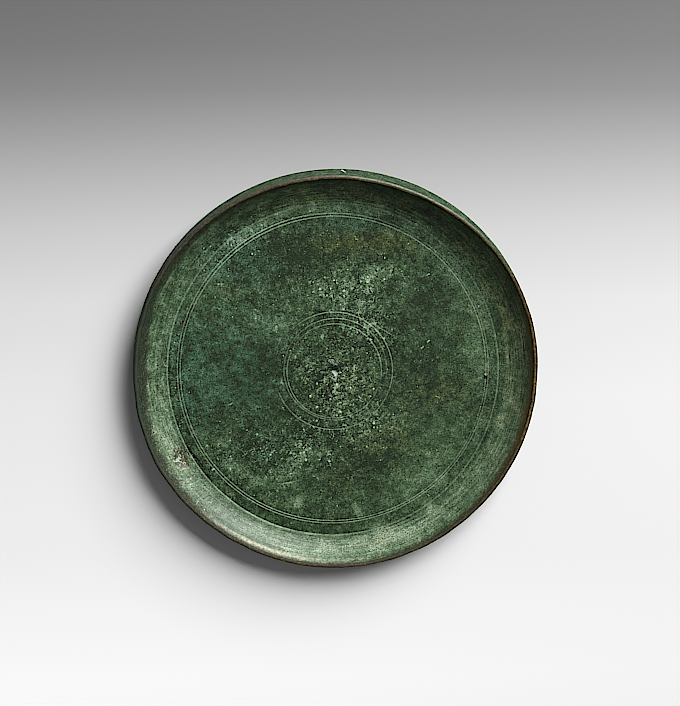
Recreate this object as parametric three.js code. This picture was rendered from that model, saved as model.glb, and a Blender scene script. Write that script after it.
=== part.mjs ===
// Bronze mirror: one cast disc, finished on a lathe, lying on its reflecting face with the ringed dish up.
// Units are millimetres, +Z is up, and the origin is at the centre of the underside.
// The solid is one closed profile turned about Z: the underside outwards, the outer wall up, over the lip,
// down the hollow-curved inner wall and in across the ringed floor to the centre.
import * as THREE from "three";

// Driving sizes of the disc
const overallDiameter = 126.4; // across the back edge, the widest place
const overallHeight = 8.5; // from the resting band to the top of the lip
const floorThickness = 1.6; // metal between the dish floor and the plane of the resting band
const outerWallLean = 0.75; // how far the outer wall leans inwards from the back edge to the lip
const lipThickness = 1.3; // between the outer wall and the inner wall at the lip
const innerWallSpread = 8; // how far the inner wall runs inwards from the lip to its foot
const innerWallBow = 0.62; // 0 is a straight slope, 1 is a full quarter ellipse
const backEdgeRounding = 0.8;
const innerWallSteps = 8;
const roundingSteps = 3;
const turnedSegments = 84;

// Ring grooves of the floor: the outer ones are placed from the foot of the wall, the inner ones by radius
const wallFootGroove = { inset: 0.25, width: 0.9, depth: 0.3 };
const outerPair = { inset: 4.05, spacing: 0.9, width: 0.5, depth: 0.22 };
const innerRings = [
  { radius: 18.6, width: 0.62, depth: 0.26 },
  { radius: 16.2, width: 0.4, depth: 0.14 },
  { radius: 15.0, width: 0.55, depth: 0.24 },
];
const turningCentre = { radius: 1.6, depth: 0.45 };

// The underside: the reflecting face stands a little back inside a flat resting band
const restingBandWidth = 5.2;
const reflectingFaceRecess = 0.25;
const recessShoulder = 0.5;
const faceLine = { inset: 2.4, width: 0.5, depth: 0.15 };
const faceCentreMark = { radius: 0.9, depth: 0.2 };

const backRadius = overallDiameter / 2;
const lipOuterRadius = backRadius - outerWallLean;
const lipInnerRadius = lipOuterRadius - lipThickness;
const wallFootRadius = lipInnerRadius - innerWallSpread;
const bandInnerRadius = backRadius - restingBandWidth;
const faceRadius = bandInnerRadius - recessShoulder;

const point = (radius, height) => new THREE.Vector2(radius, height);

/** A V-shaped groove cut into a flat face, from the side nearer the axis outwards; downwards is -1 or 1. */
function groove({ radius, width, depth }, faceHeight, downwards) {
  return [
    point(radius - width / 2, faceHeight),
    point(radius, faceHeight + downwards * depth),
    point(radius + width / 2, faceHeight),
  ];
}

/** The underside, from the axis outwards: centre mark, reflecting face, turned line, shoulder, resting band. */
function underside() {
  const line = { ...faceLine, radius: faceRadius - faceLine.inset };
  return [
    point(0, reflectingFaceRecess + faceCentreMark.depth),
    point(faceCentreMark.radius, reflectingFaceRecess),
    ...groove(line, reflectingFaceRecess, 1),
    point(faceRadius, reflectingFaceRecess),
    point(bandInnerRadius, 0),
  ];
}

/** The rounded back edge, from the resting band to the foot of the outer wall. */
function backEdge() {
  const centre = point(backRadius - backEdgeRounding, backEdgeRounding);
  return Array.from({ length: roundingSteps + 1 }, (_, step) => {
    const angle = (step / roundingSteps - 1) * (Math.PI / 2);
    return point(
      centre.x + backEdgeRounding * Math.cos(angle),
      centre.y + backEdgeRounding * Math.sin(angle),
    );
  });
}

/** The lip: a half round between the outer and the inner wall, from outside to inside. */
function lip() {
  const nose = lipThickness / 2;
  const centre = point(lipOuterRadius - nose, overallHeight - nose);
  const steps = 2 * roundingSteps;
  return Array.from({ length: steps + 1 }, (_, step) => {
    const angle = (step / steps) * Math.PI;
    return point(centre.x + nose * Math.cos(angle), centre.y + nose * Math.sin(angle));
  });
}

/** The hollow-curved inner wall, from just under the lip to its foot on the floor. */
function innerWall() {
  const top = overallHeight - lipThickness / 2;
  const drop = top - floorThickness;
  return Array.from({ length: innerWallSteps }, (_, step) => {
    const share = (step + 1) / innerWallSteps;
    const angle = share * (Math.PI / 2);
    const hollow = point(1 - Math.cos(angle), Math.sin(angle));
    const across = THREE.MathUtils.lerp(share, hollow.x, innerWallBow);
    const down = THREE.MathUtils.lerp(share, hollow.y, innerWallBow);
    return point(lipInnerRadius - across * innerWallSpread, top - down * drop);
  });
}

/** The ringed floor of the dish, from the foot of the wall to the axis. */
function ringedFloor() {
  const outerRings = [
    { ...wallFootGroove, radius: wallFootRadius - wallFootGroove.inset - wallFootGroove.width / 2 },
    { ...outerPair, radius: wallFootRadius - outerPair.inset },
    { ...outerPair, radius: wallFootRadius - outerPair.inset - outerPair.spacing },
  ];
  const grooves = [...outerRings, ...innerRings]
    .sort((one, other) => other.radius - one.radius)
    .flatMap((ring) => groove(ring, floorThickness, -1).reverse());
  return [
    ...grooves,
    point(turningCentre.radius, floorThickness),
    point(turningCentre.radius / 2, floorThickness - turningCentre.depth * 0.8),
    point(0, floorThickness - turningCentre.depth),
  ];
}

/** The disc as one closed turned solid. */
function mirrorDisc() {
  const profile = [...underside(), ...backEdge(), ...lip(), ...innerWall(), ...ringedFloor()];
  const geometry = new THREE.LatheGeometry(profile, turnedSegments);
  geometry.rotateX(Math.PI / 2);
  const patina = new THREE.MeshStandardMaterial({ color: 0x3c5644, roughness: 0.55, metalness: 0.45 });
  const mesh = new THREE.Mesh(geometry, patina);
  mesh.name = "mirror_disc";
  return mesh;
}

const bronzeMirror = new THREE.Group();
bronzeMirror.name = "bronze_mirror";
bronzeMirror.add(mirrorDisc());

export default bronzeMirror;
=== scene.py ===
"""Bronze mirror lying on its reflecting face: a shallow turned dish with ring grooves and a green patina.

The disc is one fine mesh that stands for the CAD solid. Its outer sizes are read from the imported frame, its
relief comes from named sizes in millimetres, and its patina is one node material that reads painted masks.
"""

import logging
import math
from dataclasses import dataclass, field
from enum import Enum

import bpy
import numpy as np
from mathutils import Matrix, Vector


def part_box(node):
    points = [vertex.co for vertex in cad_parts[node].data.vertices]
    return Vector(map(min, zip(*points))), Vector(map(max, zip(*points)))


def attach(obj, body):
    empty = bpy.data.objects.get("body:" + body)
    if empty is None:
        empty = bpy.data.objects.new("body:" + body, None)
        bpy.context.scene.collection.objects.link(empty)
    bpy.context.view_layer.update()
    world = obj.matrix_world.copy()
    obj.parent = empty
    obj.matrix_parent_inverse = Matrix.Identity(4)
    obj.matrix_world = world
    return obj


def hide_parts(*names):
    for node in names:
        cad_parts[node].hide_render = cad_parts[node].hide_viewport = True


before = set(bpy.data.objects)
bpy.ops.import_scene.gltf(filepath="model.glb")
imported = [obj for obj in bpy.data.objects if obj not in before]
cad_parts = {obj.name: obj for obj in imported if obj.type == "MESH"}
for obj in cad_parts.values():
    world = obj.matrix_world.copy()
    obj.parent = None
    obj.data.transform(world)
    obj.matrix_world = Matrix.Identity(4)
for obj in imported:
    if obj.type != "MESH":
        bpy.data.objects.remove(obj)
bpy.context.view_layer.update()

MM = 0.001
NODE = "mirror_disc"
BODY = "root"

PHOTO_WIDTH = 680
PHOTO_HEIGHT = 706
MM_PER_PIXEL = 0.3125
RING_CENTRE_PIXEL = (333.9, 370.9)

log = logging.getLogger("bronze_mirror")


class Mask(Enum):
    """The painted masks that the patina material reads from the mesh."""

    LINE = "groove_fill"
    GAP = "groove_dirt"
    CRUST = "crust_density"
    TEAL = "teal_bloom"
    UMBER = "umber_stain"
    TONE = "tone_and_painted_light"
    LIP = "worn_lip"
    RIM = "rim_stain"
    GLINT = "painted_lip_highlight"
    BROWN = "lip_brown"
    GILT_AND_PAINTED_FILL = "lip_gilt_and_painted_fill"
    WALL = "turned_wall"
    CAST = "casting_flaw"
    OUTSIDE = "outer_side"


Profile = tuple[tuple[float, float], ...]
Colour = tuple[float, float, float, float]
Socket = bpy.types.NodeSocket


def around(profile: Profile, angle: np.ndarray) -> np.ndarray:
    """Reads a profile of (bearing in degrees, value) stops all the way round.

    Args:
        profile: The stops, in rising order of bearing.
        angle: Bearings in radians.

    Returns:
        The value at each bearing.
    """
    return np.interp(np.degrees(angle), [b for b, _ in profile], [v for _, v in profile], period=360)


@dataclass(frozen=True)
class Ring:
    """A turned groove, in millimetres, and how pale or dark the dirt in it is all the way round."""

    radius: float
    width: float
    depth: float
    off_x: float = 0.0
    off_y: float = 0.0
    oval: float = 0.0
    oval_deg: float = 90.0
    line: float = 0.34
    flank: float = 0.5
    flank_dirt: float = 0.5
    tone: Profile = ((0, 0.5),)

    def distance(self, x: np.ndarray, y: np.ndarray) -> np.ndarray:
        """Signed distance of each point from the groove's middle line.

        Args:
            x: Positions along X in millimetres, from the ring centre.
            y: Positions along Y in millimetres, from the ring centre.

        Returns:
            Millimetres, less than 0 inside the line.
        """
        dx, dy = x - self.off_x, y - self.off_y
        turn = 2 * (np.arctan2(dy, dx) - math.radians(self.oval_deg))
        return np.hypot(dx, dy) - self.radius - self.oval * np.cos(turn)

    def notch(self, x: np.ndarray, y: np.ndarray) -> np.ndarray:
        """The V of the groove at each point, from 0 outside it to 1 at its bottom."""
        cut = 0.45 + 0.55 * np.clip(np.abs(around(self.tone, np.arctan2(y, x))) * 1.6, 0, 1)
        return np.clip(1 - np.abs(self.distance(x, y)) / (self.width / 2), 0, 1) * cut

    def pale_line(self, x: np.ndarray, y: np.ndarray) -> np.ndarray:
        """The share of pale filling at each point."""
        across = self.distance(x, y) / (self.line / 2)
        return np.exp(-across ** 2) * np.clip(around(self.tone, np.arctan2(y, x)), 0, 1)

    def dark_line(self, x: np.ndarray, y: np.ndarray) -> np.ndarray:
        """The share of dark dirt at each point, beside the pale line or in its place.

        Args:
            x: Positions along X in millimetres.
            y: Positions along Y in millimetres.

        Returns:
            One value for each point.
        """
        off, spread = self.distance(x, y), 0.6 * self.line
        beside = np.exp(-((np.abs(off) - self.flank) / spread) ** 2) * self.flank_dirt
        within = np.exp(-(off / spread) ** 2) * np.clip(-around(self.tone, np.arctan2(y, x)), 0, 1)
        return np.maximum(beside, within)


@dataclass(frozen=True)
class Patch:
    """A soft-edged area of the patina, placed in millimetres from the ring centre."""

    x: float
    y: float
    long: float
    short: float
    strength: float
    turn_deg: float = 0.0

    def paint(self, x: np.ndarray, y: np.ndarray) -> np.ndarray:
        """The patch's share at each point, a bell over an oval.

        Args:
            x: Positions along X in millimetres.
            y: Positions along Y in millimetres.

        Returns:
            One value for each point.
        """
        turn = math.radians(self.turn_deg)
        along = (x - self.x) * math.cos(turn) + (y - self.y) * math.sin(turn)
        across = -(x - self.x) * math.sin(turn) + (y - self.y) * math.cos(turn)
        return self.strength * np.exp(-((along / self.long) ** 2 + (across / self.short) ** 2))


@dataclass(frozen=True)
class Waves:
    """Smooth seeded unevenness made of a few dozen crossing waves."""

    seed: int
    length: float
    count: int = 24

    def at(self, x: np.ndarray, y: np.ndarray) -> np.ndarray:
        """The unevenness at each point, about -1 to 1.

        Args:
            x: Positions along X in millimetres.
            y: Positions along Y in millimetres.

        Returns:
            One value for each point.
        """
        draw = np.random.default_rng(self.seed)
        total = np.zeros_like(x)
        for _ in range(self.count):
            heading, phase = draw.uniform(0, 2 * math.pi, 2)
            pitch = 2 * math.pi / (self.length * draw.uniform(0.7, 1.6))
            total += np.sin(pitch * (x * math.cos(heading) + y * math.sin(heading)) + phase)
        return total / math.sqrt(self.count)


def put(name: str, data: bpy.types.ID) -> bpy.types.Object:
    """Adds an object with the given data to the scene.

    Args:
        name: The object's name.
        data: Its mesh, light or camera.

    Returns:
        The new object.
    """
    made = bpy.data.objects.new(name, data)
    bpy.context.scene.collection.objects.link(made)
    return made


def direction(bearing_deg: float, rise_deg: float) -> Vector:
    """The unit vector towards a bearing, so many degrees above the floor."""
    bearing, rise = math.radians(bearing_deg), math.radians(rise_deg)
    return Vector((math.cos(bearing) * math.cos(rise), math.sin(bearing) * math.cos(rise), math.sin(rise)))


def smooth_step(low: float, high: float, value: np.ndarray) -> np.ndarray:
    """A soft switch from 0 at low to 1 at high."""
    share = np.clip((value - low) / (high - low), 0, 1)
    return share * share * (3 - 2 * share)


@dataclass
class DiscForm:
    """The turned section of the disc, in millimetres, as the CAD solid has it."""

    back_radius: float
    height: float
    floor_thickness: float = 1.6
    outer_wall_lean: float = 0.75
    lip_thickness: float = 1.3
    inner_wall_spread: float = 8.0
    inner_wall_bow: float = 0.62
    back_edge_rounding: float = 0.8
    resting_band_width: float = 5.2
    face_recess: float = 0.25
    recess_shoulder: float = 0.5
    centre_radius: float = 1.6
    centre_depth: float = 0.45

    @property
    def lip_outer(self) -> float:
        """Radius of the lip's outer side."""
        return self.back_radius - self.outer_wall_lean

    @property
    def lip_inner(self) -> float:
        """Radius of the lip's inner side."""
        return self.lip_outer - self.lip_thickness

    @property
    def wall_foot(self) -> float:
        """Radius at which the inner wall meets the floor."""
        return self.lip_inner - self.inner_wall_spread

    def underside(self) -> list[tuple[float, float]]:
        """Stations of the underside, from the axis outwards.

        Returns:
            Radius and height of each station.
        """
        band_inner = self.back_radius - self.resting_band_width
        face = band_inner - self.recess_shoulder
        mark, middle = np.linspace(0, 1.4, 5), np.linspace(3, face - 3.2, 12)
        flat = [(float(r), self.face_recess) for r in (*mark, *middle, *np.linspace(face - 2.9, face, 12))]
        return flat + [(band_inner, 0.0), ((band_inner + self.back_radius) / 2, 0.0)]

    def back_edge(self, steps: int = 5) -> list[tuple[float, float]]:
        """Stations of the rounded back edge.

        Args:
            steps: How many parts the rounding has.

        Returns:
            Radius and height of each station.
        """
        size = self.back_edge_rounding
        angles = [(step / steps - 1) * math.pi / 2 for step in range(steps + 1)]
        return [(self.back_radius - size + size * math.cos(a), size + size * math.sin(a)) for a in angles]

    def outer_wall(self, steps: int = 14) -> list[tuple[float, float]]:
        """Stations up the outer wall, between the back edge and the lip.

        Args:
            steps: How many stations there are.

        Returns:
            Radius and height of each station.
        """
        low = (self.back_radius, self.back_edge_rounding)
        high = (self.lip_outer, self.height - self.lip_thickness / 2)
        shares = [(step + 1) / (steps + 1) for step in range(steps)]
        return [(low[0] + (high[0] - low[0]) * s, low[1] + (high[1] - low[1]) * s) for s in shares]

    def lip(self, steps: int = 12) -> list[tuple[float, float]]:
        """Stations over the half-round lip, from outside to inside.

        Args:
            steps: How many parts the half round has.

        Returns:
            Radius and height of each station.
        """
        nose = self.lip_thickness / 2
        middle = (self.lip_outer - nose, self.height - nose)
        angles = [step / steps * math.pi for step in range(steps + 1)]
        return [(middle[0] + nose * math.cos(a), middle[1] + nose * math.sin(a)) for a in angles]

    def inner_wall(self, steps: int = 26) -> list[tuple[float, float]]:
        """Stations down the hollow-curved inner wall.

        Args:
            steps: How many stations there are.

        Returns:
            Radius and height of each station.
        """
        top = self.height - self.lip_thickness / 2
        drop = top - self.floor_thickness
        stations = []
        for step in range(steps):
            share = (step + 1) / steps
            angle = share * math.pi / 2
            across = share + (1 - math.cos(angle) - share) * self.inner_wall_bow
            down = share + (math.sin(angle) - share) * self.inner_wall_bow
            stations.append((self.lip_inner - across * self.inner_wall_spread, top - down * drop))
        return stations

    def floor_radii(self, rings: list[Ring], off: float, fine: float, coarse: float) -> np.ndarray:
        """Radii of the floor's stations, from the wall's foot to the axis, close together at the rings.

        Args:
            rings: The grooves of the floor.
            off: How far the grooves' centre lies from the axis.
            fine: Spacing near a groove or the centre hollow.
            coarse: Spacing elsewhere.

        Returns:
            Falling radii that end at 0.
        """
        cut = [(r.radius, r.width / 2 + abs(r.oval) + math.hypot(r.off_x, r.off_y) + off) for r in rings]
        cut.append((0.0, 1.2 * self.centre_radius + off))
        radii, radius = [], self.wall_foot - fine
        while radius > 0.1:
            radii.append(radius)
            radius -= fine if any(abs(radius - middle) < reach for middle, reach in cut) else coarse
        return np.array(radii + [0.0])


@dataclass
class MirrorDisc:
    """The bronze disc: builds the fine mesh, cuts its rings and flaws and paints its masks."""

    form: DiscForm
    segments: int = 440
    fine: float = 0.19
    coarse: float = 0.70
    ring_centre: tuple[float, float] = (-0.55, 0.0)
    lip_off: tuple[float, float] = (-0.05, -0.30)
    lip_oval: float = 0.30
    lip_oval_deg: float = -6.0
    lip_three: float = 0.08
    lip_three_deg: float = 24.0
    floor_swell: float = 0.05
    floor_grain: float = 0.012
    wall_swell: float = 0.07
    lip_swell: float = 0.06
    foot_reach: float = 2.5
    flaw_at: tuple[float, float] = (-48.2, -27.4)
    flaw_size: tuple[float, float] = (4.2, 3.0)
    flaw_depth: float = 0.40
    rings: list[Ring] = field(default_factory=lambda: [WALL_FOOT_RING, *OUTER_PAIR, *INNER_RINGS])
    face_line: Ring = Ring(54.9, 0.5, 0.15)
    mark_depth: float = 0.2
    mark_radius: float = 0.9
    base_tone: float = 0.32
    base_crust: float = 0.22
    rim_fade: tuple[float, float] = (2.8, 1.5)
    crest_inset: float = 0.26
    crest_near: float = -0.75
    crest_widths: tuple[float, float] = (0.24, 0.42)
    low_side_fill: float = 0.14

    def stations(self) -> tuple[np.ndarray, np.ndarray, np.ndarray]:
        """The section's radii and heights, and which stations lie on the floor of the dish.

        Returns:
            Radii, heights and a true or false value for each station.
        """
        form = self.form
        outside = form.underside() + form.back_edge() + form.outer_wall() + form.lip() + form.inner_wall()
        floor = form.floor_radii(self.rings, math.hypot(*self.ring_centre), self.fine, self.coarse)
        radii = np.concatenate([[r for r, _ in outside], floor])
        heights = np.concatenate([[z for _, z in outside], np.full(len(floor), form.floor_thickness)])
        on_floor = np.arange(len(radii)) >= len(outside)
        return radii, heights, on_floor

    def lip_shift(self, angle: np.ndarray) -> np.ndarray:
        """How far the worn lip stands out of its true circle at each angle, in millimetres.

        Args:
            angle: Bearings in radians.

        Returns:
            One value for each bearing.
        """
        off = self.lip_off[0] * np.cos(angle) + self.lip_off[1] * np.sin(angle)
        oval = self.lip_oval * np.cos(2 * (angle - math.radians(self.lip_oval_deg)))
        three = self.lip_three * np.cos(3 * (angle - math.radians(self.lip_three_deg)))
        return off + oval + three + around(LIP_WANDER, angle)

    def surface(self) -> tuple[np.ndarray, np.ndarray, np.ndarray]:
        """Bends the turned section into the real, uneven disc.

        Returns:
            X, Y and Z grids in millimetres, stations by angles.
        """
        form = self.form
        radii, heights, on_floor = self.stations()
        angle = np.linspace(0, 2 * math.pi, self.segments, endpoint=False)[None, :]
        radius = np.repeat(radii[:, None], self.segments, 1)
        height = np.repeat(heights[:, None], self.segments, 1)
        upper = smooth_step(0, 1, (height - form.floor_thickness) / (form.height - form.floor_thickness))
        outer = smooth_step(form.wall_foot - 2, form.lip_inner, radius)
        radius = radius + self.lip_shift(angle) * upper * outer
        foot = self.rings[0]
        oval = foot.oval * np.cos(2 * (angle - math.radians(foot.oval_deg)))
        low_wall = (height > 1.0) & (height < form.height - 1.5) & (radius < form.lip_inner - 0.2)
        radius = radius + oval * np.exp(-((radius - form.wall_foot) / self.foot_reach) ** 2) * low_wall
        x, y = radius * np.cos(angle), radius * np.sin(angle)
        self.sculpt_floor(x, y, height, on_floor)
        self.sculpt_wall(x, y, height)
        self.sculpt_underside(x, y, height, heights)
        reach = np.maximum(np.hypot(x, y) / form.back_radius, 1.0)
        return x / reach, y / reach, np.clip(height, 0, form.height)

    def sculpt_floor(self, x: np.ndarray, y: np.ndarray, height: np.ndarray, on_floor: np.ndarray) -> None:
        """Cuts the rings, the turning centre and a slight swell into the floor of the dish.

        Args:
            x: X grid in millimetres.
            y: Y grid in millimetres.
            height: Z grid, changed in place.
            on_floor: Which stations belong to the floor.
        """
        form = self.form
        fx, fy = x[on_floor] - self.ring_centre[0], y[on_floor] - self.ring_centre[1]
        inward = form.wall_foot - np.hypot(fx, fy)
        rise = self.floor_swell * Waves(11, 22).at(fx, fy) * smooth_step(0, 8, inward)
        rise += self.floor_grain * Waves(12, 2.6, 40).at(fx, fy)
        for ring in self.rings:
            rise -= ring.depth * ring.notch(fx, fy)
        hollow = np.clip(1 - np.hypot(fx, fy) / form.centre_radius, 0, 1)
        rise -= form.centre_depth * np.sqrt(hollow)
        height[on_floor] += rise

    def sculpt_wall(self, x: np.ndarray, y: np.ndarray, height: np.ndarray) -> None:
        """Gives the wall and lip their unevenness, and sinks the casting flaw.

        Args:
            x: X grid in millimetres, changed in place.
            y: Y grid in millimetres, changed in place.
            height: Z grid, changed in place.
        """
        form = self.form
        flaw = self.flaw_share(x - self.ring_centre[0], y - self.ring_centre[1])
        inner = (height > form.floor_thickness + 0.02) & (np.hypot(x, y) < form.lip_inner + 0.4)
        height -= self.flaw_depth * flaw * inner
        lip = smooth_step(form.height - 1.6, form.height - 0.2, height)
        height -= self.lip_swell * lip * (1 + Waves(21, 16).at(x, y) + 0.6 * Waves(22, 3.5).at(x, y))
        side = smooth_step(0.3, 1.5, height) * (np.hypot(x, y) > form.wall_foot)
        push = 1 - self.wall_swell * side * (1 + Waves(23, 9).at(x, y)) / form.back_radius
        x *= push
        y *= push

    def sculpt_underside(self, x: np.ndarray, y: np.ndarray, height: np.ndarray,
                         heights: np.ndarray) -> None:
        """Cuts the turned line and the centre mark into the reflecting face.

        Args:
            x: X grid in millimetres.
            y: Y grid in millimetres.
            height: Z grid, changed in place.
            heights: Section height of each station.
        """
        below = heights == self.form.face_recess
        cut = self.face_line.depth * self.face_line.notch(x[below], y[below])
        mark = self.mark_depth * np.clip(1 - np.hypot(x[below], y[below]) / self.mark_radius, 0, 1)
        height[below] += cut + mark

    def flaw_share(self, x: np.ndarray, y: np.ndarray) -> np.ndarray:
        """The casting flaw's depth share at each point, a ragged oval that lies along the wall.

        Args:
            x: Positions along X in millimetres.
            y: Positions along Y in millimetres.

        Returns:
            One value for each point.
        """
        turn = math.atan2(self.flaw_at[1], self.flaw_at[0]) + math.pi / 2
        dx, dy = x - self.flaw_at[0], y - self.flaw_at[1]
        along = (dx * math.cos(turn) + dy * math.sin(turn)) / self.flaw_size[0]
        across = (-dx * math.sin(turn) + dy * math.cos(turn)) / self.flaw_size[1]
        edge = np.hypot(along, across) + 0.25 * Waves(31, 2.2).at(x, y)
        return 1 - smooth_step(0.35, 1.0, edge)

    def build(self) -> bpy.types.Object:
        """Makes the closed mesh object with its masks, smooth and in metres.

        Returns:
            The new object, at the origin.
        """
        x, y, z = self.surface()
        rows, turns = x.shape
        poles = [(0.0, 0.0, z[row].mean()) for row in (0, -1)]
        body = np.stack([x[1:-1], y[1:-1], z[1:-1]], -1).reshape(-1, 3)
        points = np.vstack([body, poles]) * MM
        last = (rows - 3) * turns
        start = np.arange(0, last, turns)[:, None]
        here = start + np.arange(turns)[None, :]
        after = start + (np.arange(turns)[None, :] + 1) % turns
        quads = np.stack([here, after, after + turns, here + turns], -1).reshape(-1, 4)
        bottom, top = len(body), len(body) + 1
        fans = [(bottom, (k + 1) % turns, k) for k in range(turns)]
        fans += [(top, last + k, last + (k + 1) % turns) for k in range(turns)]
        mesh = bpy.data.meshes.new("bronze_disc")
        mesh.from_pydata(points.tolist(), [], quads.tolist() + fans)
        mesh.shade_smooth()
        disc = put("bronze_disc", mesh)
        for mask, values in self.masks(points / MM).items():
            layer = mesh.attributes.new(mask.value, "FLOAT", "POINT")
            layer.data.foreach_set("value", values.astype(np.float32))
        return disc

    def masks(self, points: np.ndarray) -> dict[Mask, np.ndarray]:
        """Paints each mask over the mesh points.

        Args:
            points: The mesh points in millimetres.

        Returns:
            For each mask, a value from 0 to 1 for each point.
        """
        form = self.form
        x, y, z = points.T
        radius, angle = np.hypot(x, y), np.arctan2(y, x)
        lip_inner = form.lip_inner + self.lip_shift(angle)
        inside = (z > form.floor_thickness - 0.8) & (radius < lip_inner + 0.3)
        wall = smooth_step(form.wall_foot - 0.6, form.wall_foot + 0.8, radius) * inside
        near_x, near_y = x - self.ring_centre[0], y - self.ring_centre[1]
        made = {mask: np.zeros(len(x)) for mask in Mask}
        for ring in self.rings:
            made[Mask.LINE] = np.maximum(made[Mask.LINE], ring.pale_line(near_x, near_y) * inside)
            made[Mask.GAP] = np.maximum(made[Mask.GAP], ring.dark_line(near_x, near_y) * inside)
        made[Mask.CRUST] += self.base_crust * (1 - 0.3 * wall)
        foot = smooth_step(form.wall_foot + 4.6, form.wall_foot + 0.6, radius)
        # The wall's tone holds painted light: fill where the wall faces away from the key light, highlight on
        # the lower wall and shade at part of its foot.
        wall_tone = around(WALL_TONE, angle) + foot * around(FOOT_TONE, angle)
        made[Mask.TONE] += self.base_tone + wall * wall_tone
        made[Mask.UMBER] += wall * around(WALL_UMBER, angle)
        for mask, places in PATCHES.items():
            for place in places:
                made[mask] += Patch(*place).paint(near_x, near_y) * inside
        made[Mask.LIP] += smooth_step(form.height - 1.1, form.height - 0.3, z)
        back_edge = smooth_step(1.2, 0.5, z) * smooth_step(1.4, 0.4, form.back_radius - radius)
        made[Mask.LIP] += 0.5 * back_edge
        reach = around(RIM_STAIN, angle) * (1 + 0.25 * Waves(41, 5).at(x, y))
        faint, full = reach + self.rim_fade[0], reach - self.rim_fade[1]
        made[Mask.RIM] += smooth_step(faint, full, lip_inner - radius) * inside
        # Painted highlight: a pale line on the lip's crest on the far side, and on the wall just inside the
        # lip on the near side.
        far = np.sin(angle) > 0
        crest_at = np.where(far, form.lip_thickness - self.crest_inset, self.crest_near)
        crest = np.exp(-((radius - lip_inner - crest_at) / np.where(far, *self.crest_widths)) ** 2)
        crest *= np.where(far, smooth_step(form.height - 1.2, form.height - 0.5, z), inside)
        made[Mask.GLINT] += crest * around(LIP_GLINT, angle)
        made[Mask.BROWN] += around(LIP_BROWN, angle)
        within = smooth_step(lip_inner + 0.9, lip_inner + 0.4, radius)
        made[Mask.GILT_AND_PAINTED_FILL] += around(LIP_GILT_AND_PAINTED_FILL, angle) * (1 - within) + around(INNER_GILT_AND_PAINTED_FILL, angle) * within
        made[Mask.WALL] += np.maximum(wall, (~inside) & (z > 0.3))
        # Painted fill light: the outer side is lightened towards its foot, which faces down into shade; the
        # rest of it is a little darker.
        beyond = radius > lip_inner + 0.6
        made[Mask.TONE] += (self.low_side_fill * smooth_step(2.2, 0.8, z) - 0.03) * (~inside & beyond)
        made[Mask.CAST] += self.flaw_share(near_x, near_y) * inside
        made[Mask.OUTSIDE] += beyond * smooth_step(form.height - 0.4, form.height - 1.2, z)
        return {mask: np.clip(values, 0, 1) for mask, values in made.items()}


WALL_FOOT_RING = Ring(52.48, 0.95, 0.14, -0.12, -0.33, 0.70, 90, 0.38, 0.60, 0.22, (
    (0, 0.35), (35, 0.08), (90, 0.05), (120, 0.25), (150, 0.3), (200, 0.42), (240, 0.6), (270, 0.4),
    (300, 0.25), (340, 0.2),
))
OUTER_PAIR = (
    Ring(49.10, 0.46, 0.09, -0.14, 0.08, 0.49, 93, 0.24, 0.40, 0.28, (
        (0, 0.35), (30, 0.1), (60, 0.1), (85, 0.45), (105, 0.75), (120, 1), (140, 0.55), (165, 0.3),
        (210, 0.45), (240, 0.8), (270, 0.6), (310, 0.45), (340, 0.25),
    )),
    Ring(48.28, 0.46, 0.09, -0.05, 0.01, 0.47, 93, 0.24, 0.40, 0.28, (
        (0, 0.35), (40, 0.55), (80, 0.55), (105, 0.75), (120, 1), (140, 0.6), (165, 0.3), (210, 0.6),
        (240, 0.85), (270, 0.6), (310, 0.5), (340, 0.1),
    )),
)
INNER_RINGS = (
    Ring(18.60, 0.46, 0.08, -0.04, -0.07, 0.20, 90, 0.25, 0.42, 0.40, (
        (0, 0.45), (30, 0.75), (60, 0.95), (85, 0.8), (120, 0.4), (135, 0), (160, -0.8), (190, -0.6),
        (203, 0.3), (255, 0.55), (300, 0.3), (340, 0.25),
    )),
    Ring(16.14, 0.36, 0.05, 0.46, 0.47, 0.10, 90, 0.23, 0.42, 0.40, (
        (0, 0.1), (30, 0.35), (60, 0.7), (85, 0.9), (110, 0.45), (140, 0.15), (200, 0.4), (260, 0.45),
        (290, 0.1), (330, 0),
    )),
    Ring(14.91, 0.42, 0.07, 0.14, -0.04, 0.16, 90, 0.25, 0.42, 0.40, (
        (0, 0.5), (40, 0.7), (65, 0.9), (100, 0.45), (140, 0.1), (170, 0.35), (230, 0.5), (270, 0.3),
        (320, 0.25), (345, 0.1),
    )),
)

# How pale the inner wall is, by bearing: partly the patina's own pale film, partly painted light, raised as
# fill where the wall faces away from the key light (320–20°) and as highlight on the lower wall (265–305°).
WALL_TONE: Profile = (
    (0, 0.33), (25, 0.19), (60, 0.12), (100, 0.09), (125, -0.05), (140, -0.04), (150, 0.02), (175, 0.2),
    (190, 0.26), (200, 0.42), (212, 0.36), (225, 0.16), (240, 0.22), (265, 0.41), (285, 0.33), (305, 0.26),
    (325, 0.33), (340, 0.34),
)
# How much paler or darker the wall's foot is, by bearing; the darkening at 262–318° is painted shade that
# dims the highlight on the foot there.
FOOT_TONE: Profile = (
    (0, 0), (30, -0.1), (100, -0.08), (130, -0.04), (150, -0.04), (185, 0), (205, -0.15), (220, 0.04),
    (240, -0.06), (262, -0.15), (275, -0.3), (300, -0.3), (318, -0.14), (335, 0),
)
# How brown the inner wall is, by bearing.
WALL_UMBER: Profile = (
    (0, 0.35), (25, 0.45), (50, 0.35), (100, 0.38), (130, 0.15), (160, 0), (320, 0), (345, 0.2),
)
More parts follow.
